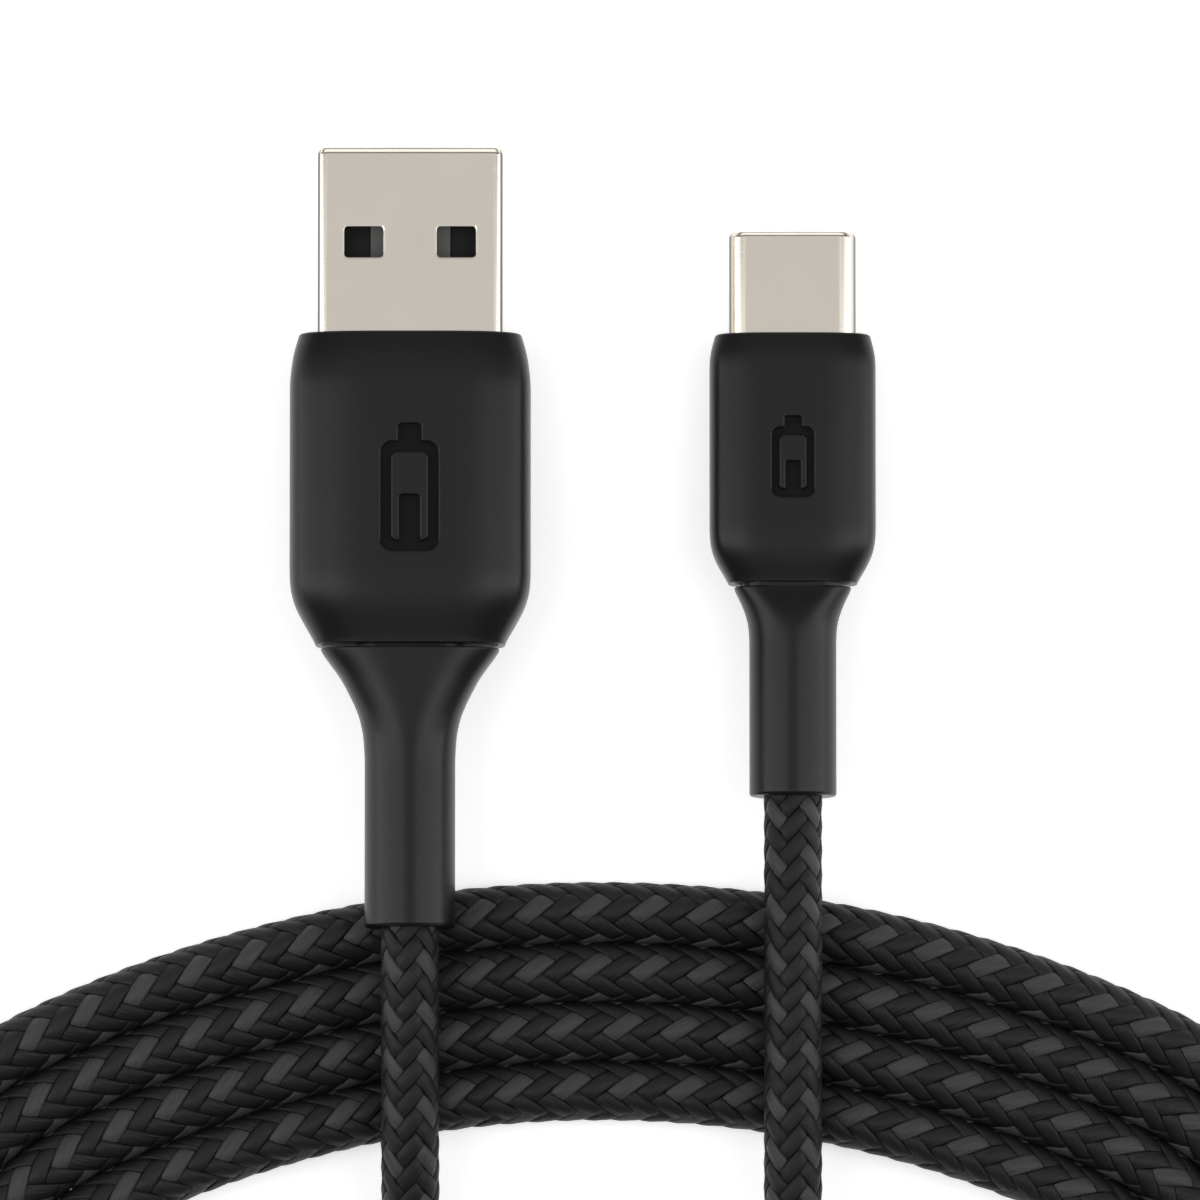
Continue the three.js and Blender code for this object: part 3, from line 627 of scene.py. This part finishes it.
def grip_mesh(name, plug):
    """Outer rings from the front face to the rear, then the rear opening, the inner
    cavity and the front opening, joined into one closed skin. On the upper face the
    grid is fine, and it is lowered by the sign's depth inside the sign's outline."""
    half, high, length, power = plug["half"], plug["high"], plug["length"], plug["square"]
    width, long, middle = plug["sign"]
    reach = width / 2 + 0.2
    fine_x = np.arange(-reach, reach + 0.01, FINE)
    fine = np.arccos(np.sign(fine_x) * (np.abs(fine_x) / half) ** (power / 2))
    t = even_turns(half, high, power, 150)
    t = t[(t < fine.min()) | (t > fine.max())]
    t = np.sort(np.concatenate([t, fine]))
    at = np.unique(np.round(np.concatenate([
        np.linspace(0, EDGE, 8), np.arange(EDGE, length - EDGE, COARSE),
        np.linspace(length - EDGE, length, 8),
        np.arange(-middle - long / 2 - 0.3, -middle + long / 2 + 0.3, FINE)]), 4))
    at = at[np.concatenate([[True], np.diff(at) > 0.02])]
    narrow = eased(at, plug["nose"]) + eased(at, plug["tail"])
    edge = fillet(at, EDGE) + fillet(length - at, REAR_EDGE)
    skin = squircle((half - narrow - edge)[:, None],
                    (high - narrow * HEIGHT_SHARE - edge)[:, None], power, t[None, :])
    skin = level_ring(skin, -at[:, None])
    sign = battery(skin[..., 0], skin[..., 1], width, long, middle)
    sunk = np.clip(0.5 - sign / SIGN_WALL, 0, 1) * (skin[..., 2] > 0)
    sunk = sunk * sunk * (3 - 2 * sunk)
    skin[..., 2] -= SIGN_DEPTH * sunk
    shares = np.concatenate([[0], np.cumsum(np.linalg.norm(
        np.diff(squircle(half, high, power, t), axis=0), axis=1))])
    shares = shares / (shares[-1] + np.linalg.norm(
        squircle(half, high, power, t[-1]) - squircle(half, high, power, t[0])))
    shell_w, shell_h, shell_r = plug["shell"]
    wall, wall_high, square, ahead = plug["mould"]
    cavity = squircle(shell_w / 2 + wall + FIT, shell_h / 2 + wall_high + FIT, square, t)
    opening = round_rectangle(shell_w / 2 + FIT, shell_h / 2 + FIT, shell_r + FIT)
    opening = at_shares(opening, shares)
    spigot = at_shares(spigot_outline(plug, FIT), shares)
    inside = [level_ring(spigot, -length), level_ring(spigot, -length + ahead - FIT),
              level_ring(cavity, -length + ahead - FIT), level_ring(cavity, -plug["front"] + FIT),
              level_ring(opening, -plug["front"] + FIT), level_ring(opening, 0)]
    rings = in_plug(plug, np.concatenate([skin, np.stack(inside)]))
    mesh = grid_mesh(name, rings, wrap_rows=True, wrap_columns=True)
    depth = np.zeros(rings.shape[:2])
    depth[:len(at)] = sunk
    mark = mesh.attributes.new("sunk", "FLOAT", "POINT")
    mark.data.foreach_set("value", depth.reshape(-1).astype(np.float32))
    columns = len(t)
    flat = np.repeat(np.arange(len(rings)) >= len(at) - 1, columns)
    mesh.polygons.foreach_set("use_smooth", ~flat)
    return mesh


soft_touch = Finish("soft_touch_polymer", (0.0025, 0.0025, 0.0025), 0.36, specular=0.3)
grain = soft_touch.noise(5000.0, 2.0)
mottle = soft_touch.noise(160.0, 4.0)
# The sign's sunk floor is rougher, and its colour is painted near-black: painted shade for the
# recess.
sign_floor_shade = soft_touch.node("ShaderNodeAttribute", {"attribute_name": "sunk"}, output="Fac")
grip_colour = soft_touch.mix(mottle, (0.0016, 0.0016, 0.0016), (0.0030, 0.0030, 0.0031))
soft_touch.drive(Base_Color=soft_touch.mix(sign_floor_shade, grip_colour, (0.0006, 0.0006, 0.0006)),
                 Roughness=0.3 + 0.08 * grain + 0.5 * sign_floor_shade)
soft_touch.bump(grain, 4e-6)
for prefix, plug in (("usb_a", A), ("usb_c", C)):
    grip = own_piece(prefix + "_grip", grip_mesh(prefix + "_grip", plug), soft_touch)
    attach(grip, prefix + "_plug")
    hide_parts(prefix + "_housing")

# -------------------------------------------------------------------- the boots
# Soft strain reliefs of the same charcoal: as flat as the grip where they meet it,
# then a round neck down the cord. A spigot on the front is held in the grip.
BORE = cord_r + FIT
LIP = 0.22
BOOT_COLUMNS = 96
BEND_INSET = 2.5


def boot_mesh(name, plug):
    """The spigot's rings, the outer skin from the seam to the rounded end, and the
    bore's rings back to the front, joined into one closed skin. The skin is a squircle
    whose half sizes and power ease from the grip's rear section to the round neck."""
    shares = np.arange(BOOT_COLUMNS) / BOOT_COLUMNS
    t = shares * 2 * math.pi
    length, end = plug["length"], plug["boot_end"]
    at = np.unique(np.round(np.concatenate([
        np.linspace(length + SEAM, length + SEAM + LIP, 6),
        np.arange(length + SEAM + LIP, end - LIP, COARSE), np.linspace(end - LIP, end, 7)]), 4))
    behind_grip = at - length
    spread = eased(behind_grip, plug["spread"], 1, 0.3)[:, None]
    power = eased(behind_grip, plug["spread"], 2, 0.3)[:, None]
    narrow = plug["tail"][-1][1]
    wide = plug["half"] - narrow - plug["step"] - plug["neck"]
    tall = plug["high"] - narrow * HEIGHT_SHARE - plug["step"] / 2 - plug["neck"]
    edge = (fillet(behind_grip - SEAM, REAR_EDGE) + fillet(end - at, LIP))[:, None]
    skin = squircle(plug["neck"] + wide * spread - edge, plug["neck"] + tall * spread - edge,
                    power, t[None, :])
    skin = level_ring(skin, -at[:, None])
    spigot = at_shares(spigot_outline(plug, 0), shares)
    front = plug["spigot"] - length
    lead = np.linspace(front, -length - SEAM, 4)[:, None]
    bore = squircle(BORE, BORE, 2, t)
    back = np.arange(-end, front + 0.12, 0.4)[:, None]
    back = np.append(back, [[front]], 0)
    rings = np.concatenate([level_ring(np.tile(spigot, (len(lead), 1, 1)), lead), skin,
                            level_ring(np.tile(bore, (len(back), 1, 1)), back)])
    mesh = grid_mesh(name, in_plug(plug, rings), wrap_rows=True, wrap_columns=True)
    row = np.arange(len(rings))
    flat = (row < len(lead)) | (row == len(lead) + len(skin) - 1) | (row == len(rings) - 1)
    mesh.polygons.foreach_set("use_smooth", ~np.repeat(flat, BOOT_COLUMNS))
    return mesh


def bend_ends(plug):
    """Where a boot's bend starts, by its rear end, and stops, by the grip, in metres."""
    return [tuple(behind(plug["frame"], distance) * MM)
            for distance in (plug["boot_end"] - BEND_INSET, plug["length"] + BEND_INSET)]


for prefix, plug in (("usb_a", A), ("usb_c", C)):
    boot = own_piece(prefix + "_strain_relief", boot_mesh(prefix + "_strain_relief", plug),
                     soft_touch)
    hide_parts(prefix + "_boot")
    bend_start, bend_stop = bend_ends(plug)
    prefix + "_plug"
    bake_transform(boot)

# ------------------------------------------------- the jacket inside each boot
# The cord's own black jacket, cut back from the braid, that runs up the boot's
# bore and stops in the grip, where the four conductors come out of it.
JACKET_R = 1.66
for prefix, plug in (("usb_a", A), ("usb_c", C)):
    stop = -plug["boot_end"] + INSIDE_BOOT + 0.1
    row_y = np.arange(-plug["length"] + plug["jacket"], stop, -0.5)
    around = np.arange(32) / 32 * 2 * math.pi
    rings = level_ring(np.tile(squircle(JACKET_R, JACKET_R, 2, around), (len(row_y), 1, 1)),
                       row_y[:, None])
    mesh = grid_mesh(prefix + "_jacket_end", in_plug(plug, rings), wrap_columns=True, caps=True)
    jacket_end = own_piece(prefix + "_jacket_end", mesh, jacket)
    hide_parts(prefix + "_cord_end")
    bend_start, bend_stop = bend_ends(plug)
    prefix + "_plug"
    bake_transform(jacket_end)

# ------------------------------------------------------------------- the shells
# Bright nickel over steel sheet. The USB-A shell is folded, with a seam under it
# and two square windows a side; the USB-C shell is a drawn tube. Mouths draw in.
SEAM_SLIT = 0.05
LEAD_IN = 2.2
# Width of the painted shade: a dark band of colour along the shells' outer edges.
EDGE_SHADE_WIDTH = 0.2
BROKEN_EDGE = 0.035
WINDOW_W, WINDOW_L, WINDOW_X, WINDOW_FROM_TIP, WINDOW_R = 2.55, 2.03, 3.0, 6.15, 0.22


def mouth_inset(distance, inset):
    """A swaged mouth: a straight lead-in of that inset, LEAD_IN times as long as deep."""
    return inset * np.clip(1 - distance / (LEAD_IN * inset), 0, 1)


def shell_rings(plug, outline_at, row_y):
    """Rings of the outer face from the mouth to the rear, drawn in at the mouth.
    Each point moves in along the outline's own normal, got from its neighbours."""
    step = np.roll(outline_at, -1, 0) - np.roll(outline_at, 1, 0)
    inward = np.stack([-step[:, 1], step[:, 0]], -1)
    inward /= np.linalg.norm(inward, axis=1)[:, None]
    inset = mouth_inset(plug["reach"] - row_y, plug["mouth"])[:, None, None]
    return level_ring(outline_at[None] + inset * inward[None], row_y[:, None])


nickel = Finish("nickel_plate", (0.80, 0.74, 0.66), 0.3, metallic=1.0)
brushed = nickel.noise(1.0, 3.0, vector=nickel.place((700, 9000, 2500)))
wear = nickel.noise(220.0, 5.0)
# Painted shade: where the corners turn down, the nickel's colour gives way to a dark grey that
# stands in for the dark reflection at the edges.
flank = nickel.node("ShaderNodeAttribute", {"attribute_name": "flank"}, output="Fac")
bright = nickel.mix(wear, (0.70, 0.645, 0.57), (0.74, 0.685, 0.61))
nickel.drive(Base_Color=nickel.mix(flank, bright, (0.12, 0.112, 0.1)),
             Roughness=0.12 + 0.06 * brushed + 0.04 * wear)
nickel.bump(brushed, 1.2e-6)

shell_w, shell_h, shell_r = A["shell"]
window_y = A["reach"] - WINDOW_FROM_TIP
in_x, out_x = WINDOW_X - WINDOW_W / 2, WINDOW_X + WINDOW_W / 2
flat_x = np.unique(np.round(np.concatenate([
    np.linspace(-shell_w / 2 + shell_r, -out_x, 7), np.linspace(-out_x, -in_x, 14),
    np.linspace(-in_x, in_x, 19), np.linspace(in_x, out_x, 14),
    np.linspace(out_x, shell_w / 2 - shell_r, 7)]), 6))
chamfer_y = A["reach"] - LEAD_IN * A["mouth"]
row_y = np.unique(np.round(np.concatenate([
    np.linspace(-A["rear"], window_y - WINDOW_L / 2 - 0.6, 12),
    np.linspace(window_y - WINDOW_L / 2 - 0.6, window_y - WINDOW_L / 2, 4),
    np.linspace(window_y - WINDOW_L / 2, window_y + WINDOW_L / 2, 11),
    np.linspace(window_y + WINDOW_L / 2, window_y + WINDOW_L / 2 + 0.6, 4),
    np.linspace(window_y + WINDOW_L / 2 + 0.6, chamfer_y - 0.06, 9),
    np.linspace(chamfer_y, A["reach"], 4)]), 6))[::-1]


def corner_arc(x, z, start, stop):
    """A corner of the folded section, from one angle to another in degrees."""
    t = np.radians(np.linspace(start, stop, 13))
    return np.stack([x + shell_r * np.cos(t), z + shell_r * np.sin(t)], -1)


half_w, half_h = shell_w / 2 - shell_r, shell_h / 2 - shell_r
level = flat_x[1:-1]
upper = np.stack([level[::-1], level * 0 + shell_h / 2], -1)
lower = np.stack([level, level * 0 - shell_h / 2], -1)
right_of_slit = lower[level > 2 * SEAM_SLIT]
left_of_slit = lower[level < -2 * SEAM_SLIT]
folded = np.concatenate([[[SEAM_SLIT, -shell_h / 2]], right_of_slit,
                         corner_arc(half_w, -half_h, -90, 0), corner_arc(half_w, half_h, 0, 90),
                         upper, corner_arc(-half_w, half_h, 90, 180),
                         corner_arc(-half_w, -half_h, 180, 270), left_of_slit,
                         [[-SEAM_SLIT, -shell_h / 2]]])
sheet = shell_rings(A, folded, row_y)
sheet[:, [0, -1], 0] = [SEAM_SLIT, -SEAM_SLIT]
sheet[:, [0, -1], 2] = -shell_h / 2 + mouth_inset(A["reach"] - row_y, A["mouth"])[:, None]


def window_distance(x, y):
    """Signed distance, negative inside, to the nearer of a face's two windows."""
    return plate(np.abs(x) - WINDOW_X, y, WINDOW_W, WINDOW_L, WINDOW_R, window_y)


on_face = np.abs(np.abs(sheet[..., 2]) - shell_h / 2) < 0.001
gap = window_distance(sheet[..., 0], sheet[..., 1])
nudge = 1e-4
pull_x = (window_distance(sheet[..., 0] + nudge, sheet[..., 1]) - gap) / nudge
pull_y = (window_distance(sheet[..., 0], sheet[..., 1] + nudge) - gap) / nudge
near = on_face & (np.abs(gap) < 0.1)
sheet[..., 0] -= np.where(near, gap * pull_x, 0)
sheet[..., 1] -= np.where(near, gap * pull_y, 0)
quad = (sheet[:-1, :-1] + sheet[1:, 1:] + sheet[:-1, 1:] + sheet[1:, :-1]) / 4
open_quad = (window_distance(quad[..., 0], quad[..., 1]) < -0.004) & (
    np.abs(np.abs(quad[..., 2]) - shell_h / 2) < 0.001)
keep = np.flatnonzero(~open_quad.reshape(-1))
corners = np.arange(sheet.shape[0] * sheet.shape[1]).reshape(sheet.shape[:2])
quads = np.stack([corners[:-1, :-1], corners[:-1, 1:], corners[1:, 1:], corners[1:, :-1]],
                 -1).reshape(-1, 4)[keep]
used, fresh = np.unique(quads, return_inverse=True)
shell_mesh = bpy.data.meshes.new("usb_a_folded_shell")
shell_mesh.from_pydata((in_plug(A, sheet).reshape(-1, 3)[used] * MM).tolist(), [],
                       fresh.reshape(-1, 4).tolist())
shell_mesh.polygons.foreach_set("use_smooth", np.full(len(quads), True))
shell_mesh.update()


def thickened(name, mesh, points, thickness, body, node):
    """Sheet of that thickness inside the mesh's face, with its cut edges broken. The
    outermost EDGE_SHADE_WIDTH of its width, where the corners turn down, is painted dark: painted
    shade for the dark reflection at the edges."""
    shell = own_piece(name, mesh, nickel)
    from_side = np.abs(points[:, 0]).max() - np.abs(points[:, 0])
    edge_shade_share = np.clip((EDGE_SHADE_WIDTH - from_side) / EDGE_SHADE_WIDTH * 2, 0, 1) * (from_side > 1e-4)
    attribute = mesh.attributes.new("flank", "FLOAT", "POINT")
    attribute.data.foreach_set("value", edge_shade_share.astype(np.float32))
    solid = shell.modifiers.new("sheet", "SOLIDIFY")
    solid.thickness, solid.offset = thickness * MM, -1
    broken = shell.modifiers.new("broken_edge", "BEVEL")
    broken.width, broken.segments = BROKEN_EDGE * MM, 2
    broken.limit_method, broken.angle_limit = "ANGLE", math.radians(50)
    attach(shell, body)
    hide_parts(node)


thickened("usb_a_folded_shell", shell_mesh, sheet.reshape(-1, 3)[used], A["sheet"],
          "usb_a_plug", "usb_a_shell")
drawn = at_shares(round_rectangle(C["shell"][0] / 2, C["shell"][1] / 2, C["shell"][2]),
                  np.arange(120) / 120)
chamfer_y = C["reach"] - LEAD_IN * C["mouth"]
row_y = np.concatenate([np.linspace(C["reach"], chamfer_y, 4),
                        np.linspace(chamfer_y - 0.06, -C["rear"], 18)])
tube = shell_rings(C, drawn, row_y)
drawn_mesh = grid_mesh("usb_c_drawn_shell", in_plug(C, tube), wrap_columns=True)
thickened("usb_c_drawn_shell", drawn_mesh, tube.reshape(-1, 3), C["sheet"],
          "usb_c_plug", "usb_c_shell")

# ------------------------------------------------------- blocks in the shells
# Black glass-filled nylon blocks that carry the contacts. The USB-A block has a
# raised land, seen as a lighter step in the windows: its top is painted light grey, as painted light
# falling on it through the windows.


def refinish(finish, *nodes):
    """Gives CAD nodes a finish in place of their own."""
    for name in nodes:
        node = frame["nodes"][name]
        node.data.materials.clear()
        node.data.materials.append(finish.material)


nylon = Finish("glass_filled_nylon", (0.01, 0.01, 0.01), 0.45, specular=0.25)
glass = nylon.noise(3000.0, 4.0)
LAND_FOOT, LAND_STEP = 0.3, 0.1
a_face, _, a_up = A_FRAME
own_place = nylon.node("ShaderNodeTexCoord", output="Object")
own_height = nylon.node("ShaderNodeVectorMath", {"operation": "DOT_PRODUCT"},
                        {0: own_place, 1: tuple(a_up)}, output=1)
land_low = (a_face @ a_up + LAND_FOOT) * MM
# Painted light: above the land's foot the black block is painted light grey, standing in for light
# that falls on its top through the windows.
painted_light_land = nylon.step(own_height, land_low, land_low + LAND_STEP * MM)
matt = nylon.mix(glass, (0.004, 0.004, 0.0042), (0.009, 0.009, 0.0092))
nylon.drive(Base_Color=nylon.mix(painted_light_land, matt, (0.165, 0.165, 0.16)),
            Roughness=0.4 + 0.2 * glass)
nylon.bump(glass, 3e-6)
refinish(nylon, "usb_a_insulator", "usb_c_insulator")

# ---------------------------------------------------------- contacts and springs
# Gold-flashed copper alloy fingers; stainless latches, shield can and crimp collar
# with the drawn grain of pressed strip.
gold = Finish("gold_flash", (0.9, 0.64, 0.28), 0.25, metallic=1.0)
drawn_gold = gold.noise(1.0, 3.0, vector=gold.place((9000, 500, 3000)))
gold.drive(Base_Color=gold.mix(drawn_gold, (0.86, 0.6, 0.25), (0.95, 0.72, 0.36)),
           Roughness=0.2 + 0.14 * drawn_gold)
gold.bump(drawn_gold, 1e-6)
refinish(gold, *[f"usb_a_contact_{n}" for n in (1, 2, 3, 4)],
         "usb_c_contacts_upper", "usb_c_contacts_lower")
steel = Finish("spring_steel", (0.62, 0.61, 0.6), 0.32, metallic=1.0)
drawn_steel = steel.noise(1.0, 4.0, vector=steel.place((600, 7000, 2500)))
steel.drive(Base_Color=steel.mix(drawn_steel, (0.55, 0.54, 0.53), (0.68, 0.67, 0.655)),
            Roughness=0.26 + 0.16 * drawn_steel)
steel.bump(drawn_steel, 1.5e-6)
refinish(steel, "usb_a_crimp_collar", "usb_c_latch_left", "usb_c_latch_right",
         "usb_c_shield_can")

# --------------------------------------------- board, chip, wires, inner moulds
# A green FR4 board with a chip resistor, PVC-covered conductors in the four usual
# colours, and grey polyethylene moulded over the joints.
mask = Finish("solder_mask", (0.01, 0.09, 0.04), 0.35, specular=0.5)
weave_x = mask.node("ShaderNodeTexWave", {"bands_direction": "X"},
                    {"Vector": mask.place(), "Scale": 900.0, "Distortion": 1.5})
weave_y = mask.node("ShaderNodeTexWave", {"bands_direction": "Y"},
                    {"Vector": mask.place(), "Scale": 900.0, "Distortion": 1.5})
mask.drive(Base_Color=mask.mix(0.5 * weave_x + 0.5 * weave_y, (0.006, 0.07, 0.03),
                               (0.014, 0.12, 0.055)), Roughness=0.3 + 0.1 * weave_x)
mask.bump(weave_x * weave_y, 3e-6)
refinish(mask, "usb_c_board")
ceramic = Finish("chip_body", (0.03, 0.03, 0.035), 0.5)
crumb = ceramic.noise(6000.0, 3.0)
ceramic.drive(Base_Color=ceramic.mix(crumb, (0.015, 0.015, 0.018), (0.05, 0.05, 0.055)))
ceramic.bump(crumb, 2e-6)
refinish(ceramic, "usb_c_resistor")
for name, colour in (("black", (0.012, 0.012, 0.013)), ("green", (0.02, 0.22, 0.06)),
                     ("white", (0.72, 0.71, 0.68)), ("red", (0.42, 0.012, 0.012))):
    cover = Finish("wire_" + name, colour, 0.4)
    cloud = cover.noise(900.0, 4.0)
    darker = tuple(0.7 * c for c in colour)
    cover.drive(Base_Color=cover.mix(cloud, darker, colour), Roughness=0.32 + 0.2 * cloud)
    cover.bump(cloud, 4e-6)
    refinish(cover, "usb_a_wire_" + name, "usb_c_wire_" + name)
poly = Finish("polyethylene", (0.35, 0.35, 0.34), 0.5)
flow = poly.noise(350.0, 5.0, stretch=(1, 0.4, 1))
poly.drive(Base_Color=poly.mix(flow, (0.27, 0.27, 0.26), (0.42, 0.42, 0.405)),
           Roughness=0.42 + 0.2 * flow)
poly.bump(flow, 1e-5)
refinish(poly, "usb_a_inner_mould", "usb_c_inner_mould")
